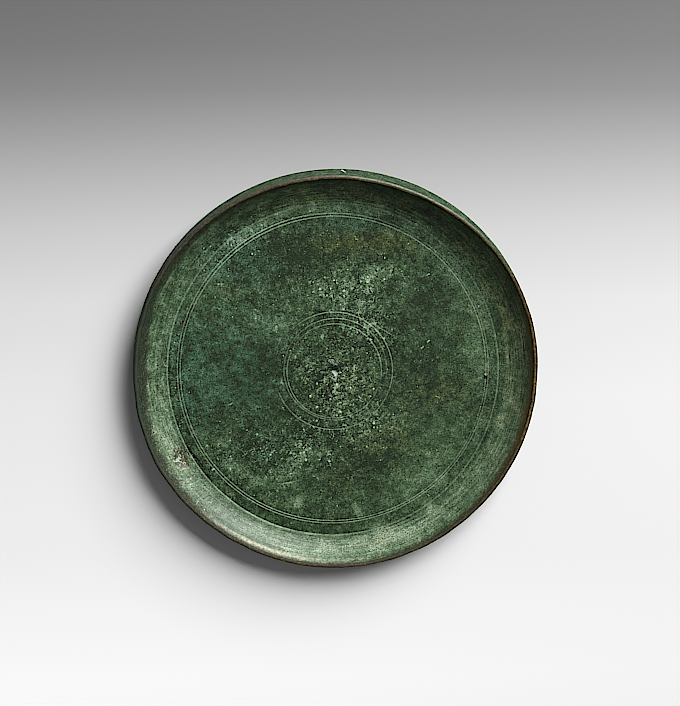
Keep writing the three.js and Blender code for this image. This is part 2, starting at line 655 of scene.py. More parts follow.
# How far the worn lip stands out of round, in millimetres, by bearing.
LIP_WANDER: Profile = (
    (0, -0.15), (10, 0.2), (20, 0.3), (40, 0.45), (50, 0.2), (60, 0), (70, 0), (80, 0.18), (90, 0.34),
    (110, 0.42), (120, 0.46), (150, 0.48), (160, 0.33), (170, 0.1), (180, -0.12), (190, 0), (200, 0.18),
    (210, 0.18), (222, 0), (232, -0.12), (242, -0.19), (252, -0.13), (264, -0.02), (300, -0.08),
    (320, -0.2), (340, -0.15),
)
# How golden the outer half of the lip is, by bearing; it is raised where the lip faces away from the key
# light (195–300°), which is painted fill light.
LIP_GILT_AND_PAINTED_FILL: Profile = (
    (0, 0.3), (30, 0.22), (60, 0.1), (120, 0.12), (140, 0.08), (195, 0.15), (225, 0.38), (290, 0.38),
    (330, 0.25),
)
# How golden the inner half of the lip and the stain are, by bearing; it is raised where they face away from
# the key light (325–18° and 50–95°), which is painted fill light.
INNER_GILT_AND_PAINTED_FILL: Profile = (
    (0, 0.75), (18, 0.65), (32, 0.35), (50, 0.45), (95, 0.5), (115, 0.25), (130, 0.1), (160, 0.05),
    (225, 0.1), (275, 0.15), (300, 0.1), (325, 0.35), (345, 0.7),
)
# How strong the painted highlight along the lip is, by bearing: on the far side it lies on the lip's crest,
# on the near side on the wall just inside the lip.
LIP_GLINT: Profile = (
    (0, 0), (38, 0), (48, 0.2), (60, 0.34), (72, 0.38), (85, 0.3), (93, 0.12), (105, 0.05), (118, 0),
    (180, 0), (222, 0), (234, 0.45), (242, 0.75), (255, 0.7), (266, 0.25), (280, 0),
)
# How much bare brown metal shows on the lip, by bearing.
LIP_BROWN: Profile = (
    (0, 0.7), (28, 0.55), (45, 0.35), (80, 0.25), (92, 0.65), (118, 0.55), (145, 0.4), (160, 0.12),
    (190, 0.1), (205, 0.2), (225, 0.3), (240, 0.4), (265, 0.5), (290, 0.4), (325, 0.45), (350, 0.75),
)
# How far the dark stain reaches down from the lip, in millimetres, by bearing.
RIM_STAIN: Profile = (
    (0, 0.5), (20, 0.1), (40, -1.2), (90, -1), (110, 0), (125, 0.8), (140, 1.2), (150, 1.1), (160, 1.5),
    (170, 2.2), (180, 2.1), (190, 1.6), (200, 1.2), (210, 1.1), (220, 0.8), (232, 0), (242, -0.4),
    (265, -0.5), (280, -0.3), (290, 0), (300, 0.2), (330, 0.4), (350, 0.6),
)

# Each patch's x, y, long and short half-widths, strength and turn in degrees.
PATCHES: dict[Mask, tuple[tuple[float, ...], ...]] = {
    Mask.CRUST: (
        (0.5, -7, 12, 9, 0.4), (0, 4, 17, 14, 0.28), (-6, -22, 15, 7, 0.36, 12), (-9, -28, 5, 4, 0.3),
        (11, 17, 11, 7, 0.55, -50), (2, 27, 9, 5, 0.5), (15, 31.5, 7, 4, 0.45), (14, -17, 8, 5, 0.45),
        (-26, -28, 16, 9, 0.28, -30), (-20, 22, 10, 7, 0.15, 40), (-27, 0, 11, 12, -0.3),
        (31, 14, 13, 13, -0.22), (36, -10, 14, 10, -0.12), (33, -24, 12, 9, -0.16), (-53, -4, 6, 28, 0.25),
        (-42, -38, 12, 8, 0.25, -45), (-29, 42, 12, 4, 0.5, 33),
    ),
    Mask.TEAL: (
        (-32, 8, 19, 15, 0.48), (-29, -8, 15, 10, 0.36), (-45, -4, 6, 20, 0.45), (-29, 36, 15, 12, 0.55),
        (10, 46.5, 22, 4, 0.5), (33, 29, 8, 8, 0.3), (-22, -27, 9, 6, 0.3),
    ),
    Mask.UMBER: (
        (4, 40, 15, 5, 0.6), (19, 40, 9, 4, 0.45, -20), (15, 11, 5, 5, 0.35), (33, -7, 14, 8, 0.4),
        (17, -22, 12, 7, 0.45), (-31, 26, 8, 5, 0.4), (2, -35, 12, 7, 0.35), (0, -4, 14, 12, 0.35),
        (-48.5, -29, 3.6, 5.5, 0.35, 30),
    ),
    Mask.TONE: (
        (0, 0, 16, 16, -0.08), (-6, -22, 14, 6, -0.1), (-13, 36, 12, 7, -0.18), (30, 24, 9, 9, -0.11),
        (33, 5, 11, 9, -0.1), (-23, -1, 9, 8, -0.14), (-28, -27, 8, 5, -0.16), (12, -31, 11, 6, -0.14),
        (0, 41, 16, 5, -0.08), (-16, 14.7, 3.6, 2.4, 0.14), (-25, 15, 8, 5, 0.15), (16, 32.4, 5, 3, 0.2),
        (3.5, 30.8, 6, 4, 0.12), (-4, 21, 11, 2.5, 0.12), (11, -17.3, 8, 4, 0.12), (33, -7, 10, 7, -0.1),
        (33, -24, 10, 6, 0.14), (27, -36, 10, 6, 0.3, 25), (45, 12, 4.5, 16, 0.25),
        (36, 32, 4, 10, 0.2, 40), (-9, -27, 5, 4, 0.22), (-14, -35, 7, 4, 0.14), (0, -40, 8, 5, -0.06),
        (-36, -22, 6, 5, 0.1), (-26.5, 43.5, 12, 2.4, 0.34, 31), (0, 51, 12, 1.8, 0.2),
        (-44, 28, 6, 12, 0.2, -25), (30.8, -45.6, 2.6, 1.8, 0.42), (17, -53.5, 9, 2.6, 0.35, 12),
        (-11.8, -42.6, 2.4, 2.4, 0.62), (-24, -35.6, 2.4, 2, 0.45), (-31.5, -30, 2.6, 2.6, 0.38),
        (-4.3, -26.3, 1.4, 1.2, 0.4), (7.6, -45.5, 2.8, 1.2, 0.55, -62), (14.4, -51, 4.5, 2, 0.22),
    ),
}


@dataclass(frozen=True)
class Stroke:
    """A scratch, a crumb where both ends are the same, or a stroke of painted highlight or shade, in
    millimetres from the ring centre.
    """

    x: float
    y: float
    to_x: float
    to_y: float
    width: float
    strength: float = 1.0
    height: float = 1.6
    rise: float = 0.0


# Scratches, larger crumbs and strokes of painted highlight: both ends' x and y, width, strength, height and
# rise.
PALE_STROKES = [Stroke(*row) for row in (
    # The first three rows are painted highlight on the lower side of the centre hollow.
    (0, -0.5, 0.5, -0.8, 1.3, 0.8), (0.3, -0.8, 0.6, -1, 1.3, 1), (-0.6, -2.3, 0.2, -2.8, 0.6, 0.7),
    (11.8, 15.2, 18.2, 11.2, 0.24, 0.45), (27.3, 7, 27.9, 7.6, 0.36, 0.7), (29.2, 8.9, 29.8, 9.5, 0.4, 0.8),
    (-8.9, -28.5, -8.7, -28.7, 0.8, 1), (-4.6, -28.6, -4.4, -28.6, 0.5, 0.8),
    (-1.6, -29.1, -1.4, -29.3, 0.7, 0.9), (-16.4, -36.5, -13.4, -36, 0.5, 0.45),
    (47.6, -1.5, 47.7, -1.7, 0.5, 0.7), (2.5, 62.9, 4.6, 62.5, 0.6, 1, 2.4, 4.4),
    (6.4, 62.3, 6.9, 62.2, 0.5, 0.8, 7.6), (-50.2, -30, -49.6, -30.8, 0.9, 0.7),
    (-38.2, -31.6, -37.8, -31.4, 0.8, 0.7), (-54.6, 8.8, -53.6, 10.6, 0.5, 0.5),
    # The last four rows are a painted highlight line along the lower-left wall.
    (-55.8, -23.8, -52, -30.6, 0.55, 0.55, 5), (-52, -30.6, -45, -39.6, 0.5, 0.6, 4),
    (-45, -39.6, -37, -45.6, 0.4, 0.5, 3.6), (-37, -45.6, -27.8, -51.2, 0.35, 0.35, 3.4),
)]
# Dark marks; the first row is painted shade on the upper side of the centre hollow.
DARK_STROKES = [Stroke(*row) for row in (
    (-0.8, 1.4, 0.8, 1.2, 2, 0.7), (-45.6, -24.6, -41.4, -30.2, 0.9, 0.9), (47.6, -2.5, 47.6, -2.6, 1, 0.9),
    (-6, -4.6, -6.3, -5.4, 2.6, 0.4),
)]


class Shader:
    """Short names for the nodes that a material is made of.

    A stroke is measured with its height flattened, and fades from FULL_AT to FAINT_AT of its width.
    """

    FLATTEN = (1.0, 1.0, 0.25)
    FAINT_AT = 0.62
    FULL_AT = 0.25

    def __init__(self, owner: bpy.types.Material | bpy.types.World) -> None:
        """Empties the node tree of a material or of the surroundings, and keeps it.

        Args:
            owner: The material, or the scene's surroundings.
        """
        owner.use_nodes = True
        self.tree = owner.node_tree
        self.tree.nodes.clear()

    def node(self, kind: str, **settings: object) -> bpy.types.Node:
        """A new node with its settings.

        Args:
            kind: The node's type.
            settings: Names and values of its settings.

        Returns:
            The node.
        """
        made = self.tree.nodes.new(kind)
        for name, value in settings.items():
            setattr(made, name, value)
        return made

    def feed(self, socket: Socket, value: object) -> None:
        """Links a socket, or sets its plain value.

        Args:
            socket: The input.
            value: An output to link, or a plain value.
        """
        if isinstance(value, Socket):
            self.tree.links.new(value, socket)
        else:
            socket.default_value = value

    def math(self, operation: str, *values: object, clamp: bool = False) -> Socket:
        """One arithmetic step.

        Args:
            operation: What is done.
            values: Outputs or plain numbers.
            clamp: Whether the result is kept from 0 to 1.

        Returns:
            The result.
        """
        made = self.node("ShaderNodeMath", operation=operation, use_clamp=clamp)
        for socket, value in zip(made.inputs, values):
            self.feed(socket, value)
        return made.outputs[0]

    def add(self, first: object, *others: object) -> Socket:
        """The sum of two or more values.

        Args:
            first: An output or a number.
            others: What is added to it.

        Returns:
            The sum.
        """
        for other in others:
            first = self.math("ADD", first, other)
        return first

    def times(self, first: object, second: object) -> Socket:
        """The product of two values."""
        return self.math("MULTIPLY", first, second)

    def sway(self, noise: object, weight: object) -> Socket:
        """A noise made to swing about 0, with the given weight."""
        return self.times(self.math("SUBTRACT", noise, 0.5), weight)

    def tint(self, share: object, colour: object, tint: Colour) -> Socket:
        """A colour multiplied by a tint, as far as the share says."""
        return self.mix(share, colour, self.mix(1.0, colour, tint, "MULTIPLY"))

    def soft(self, value: object, low: object, high: object) -> Socket:
        """A soft switch between two values.

        Args:
            value: What is read.
            low: Where the switch is 0.
            high: Where the switch is 1. It may be less than low.

        Returns:
            A value from 0 to 1.
        """
        made = self.node("ShaderNodeMapRange", interpolation_type="SMOOTHSTEP")
        self.feed(made.inputs["Value"], value)
        self.feed(made.inputs["From Min"], low)
        self.feed(made.inputs["From Max"], high)
        return made.outputs["Result"]

    def spread(self, value: object, low: float, high: float, to_low: float, to_high: float) -> Socket:
        """A clamped straight-line change of range.

        Args:
            value: What is read.
            low: Start of the range that it comes from.
            high: End of that range.
            to_low: What the start becomes.
            to_high: What the end becomes.

        Returns:
            The changed value.
        """
        made = self.node("ShaderNodeMapRange")
        names = ("Value", "From Min", "From Max", "To Min", "To Max")
        for name, given in zip(names, (value, low, high, to_low, to_high)):
            self.feed(made.inputs[name], given)
        return made.outputs["Result"]

    def noise(self, vector: object, grain_mm: float, detail: float = 2.0, rough: float = 0.5,
              warp: float = 0.0) -> Socket:
        """Noise whose grains are about the given size.

        Args:
            vector: The coordinates in millimetres.
            grain_mm: The size of a grain.
            detail: How many finer layers there are.
            rough: How strong the finer layers are.
            warp: How far the grains are pushed about.

        Returns:
            A value from 0 to 1, mostly near a half.
        """
        made = self.node("ShaderNodeTexNoise")
        self.feed(made.inputs["Vector"], vector)
        made.inputs["Scale"].default_value = 1 / grain_mm
        made.inputs["Detail"].default_value = detail
        made.inputs["Roughness"].default_value = rough
        made.inputs["Distortion"].default_value = warp
        return made.outputs["Fac"]

    def mask(self, mask: Mask) -> Socket:
        """A painted mask of the mesh."""
        return self.node("ShaderNodeAttribute", attribute_name=mask.value).outputs["Fac"]

    def mix(self, share: object, below: object, above: object, blend: str = "MIX") -> Socket:
        """One colour over another.

        Args:
            share: How much of the upper colour shows.
            below: The lower colour.
            above: The upper colour.
            blend: How the two are joined.

        Returns:
            The colour.
        """
        made = self.node("ShaderNodeMix", data_type="RGBA", blend_type=blend)
        self.feed(made.inputs[0], share)
        self.feed(made.inputs[6], below)
        self.feed(made.inputs[7], above)
        return made.outputs[2]

    def millimetres(self) -> Socket:
        """The object's own coordinates in millimetres."""
        place = self.node("ShaderNodeTexCoord")
        return self.vector("SCALE", place.outputs["Object"], scale=1 / MM)

    def vector(self, operation: str, *values: object, scale: object = None) -> Socket:
        """One step of vector arithmetic.

        Args:
            operation: What is done.
            values: Outputs or plain vectors.
            scale: The factor, where the step has one.

        Returns:
            The vector, or the number of a product or length.
        """
        made = self.node("ShaderNodeVectorMath", operation=operation)
        for socket, value in zip(made.inputs, values):
            self.feed(socket, value)
        if scale is not None:
            self.feed(made.inputs["Scale"], scale)
        return made.outputs["Value" if operation in ("DOT_PRODUCT", "LENGTH") else "Vector"]

    def around_axis(self, place: object, along: float, across: float) -> Socket:
        """Coordinates that run round the turning axis, for marks that are long round it and thin across it.

        Args:
            place: The coordinates in millimetres.
            along: How many marks stand side by side in a sixth of a turn, about.
            across: The width of a mark in millimetres.

        Returns:
            Coordinates for a noise whose scale is 1.
        """
        split = self.node("ShaderNodeSeparateXYZ")
        self.feed(split.inputs[0], place)
        flat = self.node("ShaderNodeCombineXYZ")
        self.feed(flat.inputs[0], split.outputs[0])
        self.feed(flat.inputs[1], split.outputs[1])
        turn = self.vector("SCALE", self.vector("NORMALIZE", flat.outputs[0]), scale=along)
        depth = self.add(self.vector("LENGTH", flat.outputs[0]), split.outputs[2])
        rise = self.node("ShaderNodeCombineXYZ")
        self.feed(rise.inputs[2], self.times(depth, 1 / across))
        return self.vector("ADD", turn, rise.outputs[0])

    def stroke(self, place: object, stroke: Stroke) -> Socket:
        """The share of a scratch or crumb at each point of the surface.

        Args:
            place: The coordinates in millimetres.
            stroke: Where it lies, how wide and how strong it is.

        Returns:
            A value from 0 to the stroke's strength.
        """
        first = Vector((stroke.x, stroke.y, stroke.height))
        run = Vector((stroke.to_x, stroke.to_y, stroke.height + stroke.rise)) - first
        reach = max(run.length_squared, 1e-6)
        offset = self.vector("SUBTRACT", place, tuple(first))
        share = self.math("MULTIPLY", self.vector("DOT_PRODUCT", offset, tuple(run)), 1 / reach, clamp=True)
        nearest = self.node("ShaderNodeCombineXYZ")
        for socket, part in zip(nearest.inputs, run):
            self.feed(socket, self.times(share, part))
        gap = self.vector("SUBTRACT", offset, nearest.outputs[0])
        away = self.vector("LENGTH", self.vector("MULTIPLY", gap, self.FLATTEN))
        faint, full = stroke.width * self.FAINT_AT, stroke.width * self.FULL_AT
        return self.times(self.soft(away, faint, full), stroke.strength)

    def strokes(self, place: object, strokes: list[Stroke]) -> Socket:
        """The strongest of several strokes at each point.

        Args:
            place: The coordinates in millimetres.
            strokes: The scratches and crumbs.

        Returns:
            A value from 0 to 1.
        """
        total = self.stroke(place, strokes[0])
        for stroke in strokes[1:]:
            total = self.math("MAXIMUM", total, self.stroke(place, stroke))
        return total

    def ramp(self, value: object, stops: list[tuple[float, Colour]]) -> Socket:
        """Colours along a value from 0 to 1.

        Args:
            value: Where along the ramp each point is.
            stops: Place and colour of each stop, in rising order.

        Returns:
            The colour.
        """
        made = self.node("ShaderNodeValToRGB")
        points = made.color_ramp.elements
        while len(points) < len(stops):
            points.new(0.5)
        for point, (place, colour) in zip(points, stops):
            point.position = place
            point.color = colour
        self.feed(made.inputs[0], value)
        return made.outputs[0]

    def voronoi(self, vector: object, grain_mm: float) -> tuple[Socket, Socket]:
        """Scattered points: the distance to the nearest, in grains, and a random value of its own.

        Args:
            vector: The coordinates in millimetres.
            grain_mm: How far apart the points are, about.

        Returns:
            The distance and the point's own value.
        """
        made = self.node("ShaderNodeTexVoronoi")
        self.feed(made.inputs["Vector"], vector)
        made.inputs["Scale"].default_value = 1 / grain_mm
        split = self.node("ShaderNodeSeparateColor")
        self.feed(split.inputs[0], made.outputs["Color"])
        return made.outputs["Distance"], split.outputs[0]


@dataclass(frozen=True)
class Grains:
    """The noises that break up the patina, fine to coarse, and one drawn out round the turning axis."""

    place: Socket
    fine: Socket
    grain: Socket
    blot: Socket
    clump: Socket
    turned: Socket

    @classmethod
    def over(cls, s: Shader, place: Socket) -> "Grains":
        """Makes the noises at the given coordinates, with grains from a third of a millimetre to four.

        Args:
            s: The material's nodes.
            place: The coordinates in millimetres.

        Returns:
            The noises.
        """
        return cls(
            place=place,
            fine=s.noise(place, 0.34, 1.5, 0.6),
            grain=s.noise(place, 0.60, 2.0, 0.6, 0.3),
            blot=s.noise(place, 1.4, 3.0, 0.65, 0.5),
            clump=s.noise(place, 4.0, 3.0, 0.6, 0.4),
            turned=s.noise(s.around_axis(place, 5.0, 0.55), 1.0, 1.5, 0.6),
        )


@dataclass(frozen=True)
class BronzePatina:
    """The finish of the disc: green patina with crumbs, stains, filled grooves, marks and a worn lip, with
    painted light: highlights on the lip and wall, and fill where the lip and wall face away from the key
    light.
    """

    centre: tuple[float, float]
    name: str = "bronze_patina"
    deep: Colour = (0.010, 0.020, 0.0085, 1)
    green: Colour = (0.0275, 0.0560, 0.0250, 1)
    moss: Colour = (0.063, 0.110, 0.058, 1)
    film: Colour = (0.145, 0.195, 0.130, 1)
    teal: Colour = (0.84, 1.08, 1.38, 1)
    umber: Colour = (1.50, 1.00, 0.70, 1)
    outer: Colour = (1.00, 1.05, 0.96, 1)
    pit: Colour = (0.008, 0.014, 0.007, 1)
    crumb: Colour = (0.135, 0.195, 0.125, 1)
    flake: Colour = (0.215, 0.300, 0.195, 1)
    chalk: Colour = (0.380, 0.460, 0.360, 1)
    verdigris: Colour = (0.290, 0.400, 0.260, 1)
    mark: Colour = (0.260, 0.330, 0.250, 1)
    soot: Colour = (0.006, 0.008, 0.005, 1)
    rust: Colour = (0.052, 0.026, 0.012, 1)
    gold: Colour = (0.066, 0.047, 0.016, 1)
    gilt_and_painted_fill: Colour = (0.210, 0.145, 0.050, 1)
    glint: Colour = (0.420, 0.385, 0.320, 1)
    specular: float = 0.36
    metallic: float = 0.35
    tone_stops: tuple[float, ...] = (0.12, 0.38, 0.66, 0.95)
    stain_share: float = 0.9
    mottle: tuple[float, ...] = (0.30, 0.74, 0.335, 1.855)
    powder_share: float = 0.60
    flake_share: float = 0.85
    lump_share: float = 0.95
    pit_edge: tuple[float, float] = (0.46, 0.38)
    cast_edge: tuple[float, float] = (0.2, 0.6)
    cast_share: float = 0.75
    stain_edge: tuple[float, float] = (0.28, 0.80)
    lip_edge: tuple[float, float] = (0.35, 0.75)
    worn_edge: tuple[float, float] = (0.48, 0.56)
    smoothest: float = 0.39
    crumb_roughness: float = 0.58
    wall_roughness: float = 0.07
    lip_roughness: float = 0.30
    outer_roughness: float = 0.95
    bump_mm: float = 0.16
    bump_strength: float = 0.6
    powder_mm: float = 0.46
    flake_mm: float = 1.90
    lump_mm: float = 1.05
    pit_mm: float = 0.90
    fleck_mm: float = 0.85
    cast_crumb_mm: float = 1.10
    marks_above: tuple[float, float] = (0.5, 0.9)

    def material(self) -> bpy.types.Material:
        """Builds the node material.

        Returns:
            The finished material.
        """
        material = bpy.data.materials.new(self.name)
        s = Shader(material)
        g = Grains.over(s, s.vector("SUBTRACT", s.millimetres(), (*self.centre, 0.0)))
        specks, colour = self.crumbs(s, g, self.ground(s, g))
        colour = self.marks(s, g, self.lines(s, g, colour))
        worn, colour = self.rim(s, g, colour)

        shiny = s.node("ShaderNodeBsdfPrincipled")
        s.feed(shiny.inputs["Base Color"], colour)
        dull = s.add(s.spread(specks, 0.0, 1.0, self.smoothest, self.crumb_roughness),
                     s.times(s.mask(Mask.WALL), self.wall_roughness),
                     s.times(s.mask(Mask.LIP), self.lip_roughness))
        dull = s.math("MAXIMUM", dull, s.times(s.mask(Mask.OUTSIDE), self.outer_roughness))
        s.feed(shiny.inputs["Roughness"], dull)
        s.feed(shiny.inputs["Metallic"], s.times(worn, self.metallic))
        shiny.inputs["Specular IOR Level"].default_value = self.specular
        heights = ((g.grain, 0.55), (g.blot, 0.45), (g.fine, 0.20), (specks, 0.15))
        relief = s.add(*(s.times(noise, share) for noise, share in heights))
        bump = s.node("ShaderNodeBump")
        bump.inputs["Strength"].default_value = self.bump_strength
        bump.inputs["Distance"].default_value = self.bump_mm * MM
        s.feed(bump.inputs["Height"], relief)
        s.feed(shiny.inputs["Normal"], bump.outputs[0])
        out = s.node("ShaderNodeOutputMaterial")
        s.feed(out.inputs["Surface"], shiny.outputs[0])
        return material

    def ground(self, s: Shader, g: Grains) -> Socket:
        """The patina's own colour, dark to pale, stained teal and umber, with a fine mottle.

        Args:
            s: The material's nodes.
            g: The noises.

        Returns:
            The colour.
        """
        rough = s.spread(s.mask(Mask.CRUST), 0.0, 1.0, 0.60, 1.80)
        turning = s.spread(s.mask(Mask.WALL), 0.0, 1.0, 0.15, 0.95)
        sways = s.sway(g.clump, 0.95), s.sway(g.blot, rough), s.sway(g.turned, turning)
        tone = s.add(s.mask(Mask.TONE), *sways)
        colour = s.ramp(tone, list(zip(self.tone_stops, (self.deep, self.green, self.moss, self.film))))
        cool = self.ragged(s, Mask.TEAL, g.clump, g.blot)
        colour = s.tint(s.times(cool, self.stain_share), colour, self.teal)
        warm = self.ragged(s, Mask.UMBER, s.add(s.times(g.turned, 0.6), s.times(g.blot, 0.4)), g.clump)
        colour = s.tint(s.times(warm, self.stain_share), colour, self.umber)
        ruddy = s.soft(s.add(s.times(g.grain, 0.6), s.times(g.turned, 0.4)), 0.50, 0.36)
        colour = s.tint(s.times(ruddy, 0.8), colour, self.umber)
        outside = s.mask(Mask.OUTSIDE)
        colour = s.tint(outside, colour, self.outer)
        colour = s.mix(s.times(outside, s.soft(g.turned, 0.48, 0.62)), colour, self.deep)
        return s.vector("SCALE", colour, scale=s.spread(g.fine, *self.mottle))

    def crumbs(self, s: Shader, g: Grains, ground: object) -> tuple[Socket, Socket]:
        """Pale crumbs and dark pits scattered over the ground.

        Args:
            s: The material's nodes.
            g: The noises.
            ground: The colour beneath.

        Returns:
            The share of crumbs, and the colour.
        """
        wanted = s.add(s.mask(Mask.CRUST), s.sway(g.clump, 0.9), s.sway(g.blot, 0.7))
        line = s.spread(wanted, 0.0, 1.0, 0.69, 0.50)
        powder = s.soft(s.noise(g.place, self.powder_mm, 1.0, 0.5, 0.2), line, s.add(line, 0.12))
        line = s.spread(wanted, 0.0, 1.0, 0.69, 0.52)
        flake = s.soft(s.noise(g.place, self.flake_mm, 4.0, 0.78, 0.6), line, s.add(line, 0.05))
        away, chance = s.voronoi(g.place, self.lump_mm)
        size = s.times(s.math("SUBTRACT", chance, s.spread(wanted, 0.1, 1.0, 0.98, 0.62)), 1.1)
        lump = s.soft(s.math("SUBTRACT", size, s.add(away, s.sway(g.fine, 1.1))), -0.14, 0.10)
        holes = s.noise(g.place, self.pit_mm, 3.0, 0.65, 0.3)
        pits = s.times(s.soft(holes, *self.pit_edge), s.spread(wanted, 0.0, 0.9, 0.20, 0.75))
        colour = s.mix(pits, ground, self.pit)
        colour = s.mix(s.times(powder, self.powder_share), colour, self.crumb)
        chips = s.mix(s.soft(g.fine, 0.40, 0.62), self.crumb, self.flake)
        colour = s.mix(s.times(flake, self.flake_share), colour, chips)
        core = s.mix(s.soft(s.add(chance, g.fine), 1.20, 1.55), self.flake, self.chalk)
        colour = s.mix(s.times(lump, self.lump_share), colour, core)
        return s.math("MAXIMUM", powder, s.math("MAXIMUM", lump, flake)), colour

    def lines(self, s: Shader, g: Grains, below: object) -> Socket:
        """The turned grooves: dark dirt beside a pale filling that comes and goes.

        Args:
            s: The material's nodes.
            g: The noises.
            below: The colour beneath.

        Returns:
            The colour.
        """
        gap = s.times(s.mask(Mask.GAP), s.spread(g.blot, 0.3, 0.6, 0.5, 1.0))
        broken = s.add(s.times(g.blot, 0.5), s.times(g.fine, 0.5))
        filled = s.times(s.mask(Mask.LINE), s.spread(broken, 0.36, 0.58, 0.45, 1.0))
        return s.mix(filled, s.mix(gap, below, self.soot), self.verdigris)

    def marks(self, s: Shader, g: Grains, below: object) -> Socket:
        """The single marks: scratches, larger crumbs, pits, the casting flaw, and strokes of painted
        highlight and shade.

        Args:
            s: The material's nodes.
            g: The noises.
            below: The colour beneath.

        Returns:
            The colour.
        """
        cast = s.soft(s.add(s.mask(Mask.CAST), s.math("SUBTRACT", g.blot, 0.5)), *self.cast_edge)
        burnt = s.mix(s.soft(g.grain, 0.4, 0.7), self.soot, self.rust)
        colour = s.mix(s.times(cast, self.cast_share), below, burnt)
        crumbs = s.times(cast, s.soft(s.noise(g.place, self.cast_crumb_mm, 3.0, 0.7, 0.6), 0.52, 0.58))
        colour = s.mix(s.times(crumbs, 0.8), colour, self.flake)
        jog = s.node("ShaderNodeCombineXYZ")
        s.feed(jog.inputs[0], s.sway(g.grain, 1.1))
        s.feed(jog.inputs[1], s.sway(g.blot, 0.9))
        bent = s.vector("ADD", g.place, jog.outputs[0])
        above = s.soft(s.vector("DOT_PRODUCT", g.place, (0.0, 0.0, 1.0)), *self.marks_above)
        colour = s.mix(s.times(s.strokes(bent, DARK_STROKES), above), colour, self.soot)
        return s.mix(s.times(s.strokes(bent, PALE_STROKES), above), colour, self.mark)

    def rim(self, s: Shader, g: Grains, below: object) -> tuple[Socket, Socket]:
        """The dark stain inside the lip and the lip itself, both with rusty and golden flecks, lightened
        towards bright gold as painted fill light where they face away from the key light, and with a painted
        highlight along the lip.

        Args:
            s: The material's nodes.
            g: The noises.
            below: The colour beneath.

        Returns:
            The share of worn metal, and the colour.
        """
        flecks = s.noise(g.place, self.fleck_mm, 2.5, 0.65)
        gilt_and_painted_fill, brown = s.mask(Mask.GILT_AND_PAINTED_FILL), s.mask(Mask.BROWN)
        golden = s.mix(gilt_and_painted_fill, self.gold, self.gilt_and_painted_fill)
        # Painted fill light: the stain and the unworn lip are lightened towards bright gold where they face
        # away from the key light.
        painted_fill = s.times(s.math("POWER", gilt_and_painted_fill, 2.0), 0.8)

        edge = s.add(s.mask(Mask.RIM), s.sway(g.grain, 1.2), s.sway(g.fine, 1.0))
        dark = s.mix(s.soft(g.grain, 0.50, 0.62), self.soot, self.deep)
        dark = s.mix(s.times(s.soft(g.fine, 0.58, 0.68), 0.7), dark, self.moss)
        dark = s.mix(painted_fill, dark, self.gilt_and_painted_fill)
        dark = s.mix(s.times(s.times(brown, 0.85), s.soft(flecks, 0.48, 0.62)), dark, golden)
        border = s.soft(s.math("ABSOLUTE", s.math("SUBTRACT", edge, 0.45)), 0.4, 0.1)
        rusty = s.times(s.soft(flecks, 0.54, 0.64), border)
        dark = s.mix(s.times(rusty, 0.5), dark, self.rust)
        colour = s.mix(s.times(s.soft(edge, *self.stain_edge), 0.98), below, dark)

        lip = s.soft(s.add(s.mask(Mask.LIP), s.sway(g.blot, 0.9)), *self.lip_edge)
        spots = s.add(s.times(flecks, 0.30), s.times(g.clump, 0.15), s.times(g.fine, 0.55))
        worn = s.soft(s.add(spots, s.sway(brown, 0.24)), *self.worn_edge)
        bare = s.mix(s.soft(g.blot, 0.42, 0.58), self.rust, golden)
        coated = s.mix(painted_fill, s.mix(g.grain, self.soot, self.deep), self.gilt_and_painted_fill)
        colour = s.mix(s.times(lip, 0.95), colour, s.mix(worn, coated, bare))
        # Painted highlight along the lip, in the glint colour.
        bright = s.times(s.mask(Mask.GLINT), s.spread(flecks, 0.35, 0.60, 0.35, 1.0))
        return s.times(lip, worn), s.mix(bright, colour, self.glint)

    def ragged(self, s: Shader, mask: Mask, coarse: object, fine: object) -> Socket:
        """A painted mask with its edge broken up by two noises."""
        broken = s.add(s.math("SUBTRACT", coarse, 0.5), s.sway(fine, 0.8))
        return s.soft(s.add(s.mask(mask), s.times(broken, 1.2)), 0.10, 0.85)


@dataclass(frozen=True)
class StudioPaper:
    """The finish of the floor: plain paper with painted light falloff, pale in front, greyer behind and
    changing slightly from side to side.
    """

    name: str = "studio_paper"
    falloff_greys: tuple[tuple[float, float], ...] = (
        (-102, 0.69), (-60, 0.61), (-9, 0.56), (23, 0.49), (45, 0.40), (61, 0.31), (74, 0.235), (87, 0.167),
        (100, 0.13), (115, 0.11), (160, 0.11),
    )
    side_falloff: float = -0.03
    corner_falloff: float = 0.08
    half_width: float = 106.0
    half_depth: float = 110.0
    roughness: float = 0.95
    specular: float = 0.1

    def material(self) -> bpy.types.Material:
        """Builds the paper's material.

        Returns:
            The finished material.
        """
        material = bpy.data.materials.new(self.name)
        s = Shader(material)
        split = s.node("ShaderNodeSeparateXYZ")
        s.feed(split.inputs[0], s.millimetres())
        # Painted light falloff: the paper's grey falls from front to back and leans from side to side.
        first, last = self.falloff_greys[0][0], self.falloff_greys[-1][0]
        share = s.spread(split.outputs["Y"], first, last, 0.0, 1.0)
        stops = [((place - first) / (last - first), (grey, grey, grey, 1)) for place, grey in self.falloff_greys]
        tint = s.ramp(share, stops)
        lean = s.spread(split.outputs["Y"], -self.half_depth, self.half_depth,
                        self.side_falloff - self.corner_falloff, self.side_falloff + self.corner_falloff)
        side = s.spread(split.outputs["X"], -self.half_width, self.half_width, -1.0, 1.0)
        shade = s.add(1.0, s.times(side, lean))
        dull = s.node("ShaderNodeBsdfPrincipled")
        s.feed(dull.inputs["Base Color"], s.vector("SCALE", tint, scale=shade))
        dull.inputs["Roughness"].default_value = self.roughness
        dull.inputs["Specular IOR Level"].default_value = self.specular
        out = s.node("ShaderNodeOutputMaterial")
        s.feed(out.inputs["Surface"], dull.outputs[0])
        return material


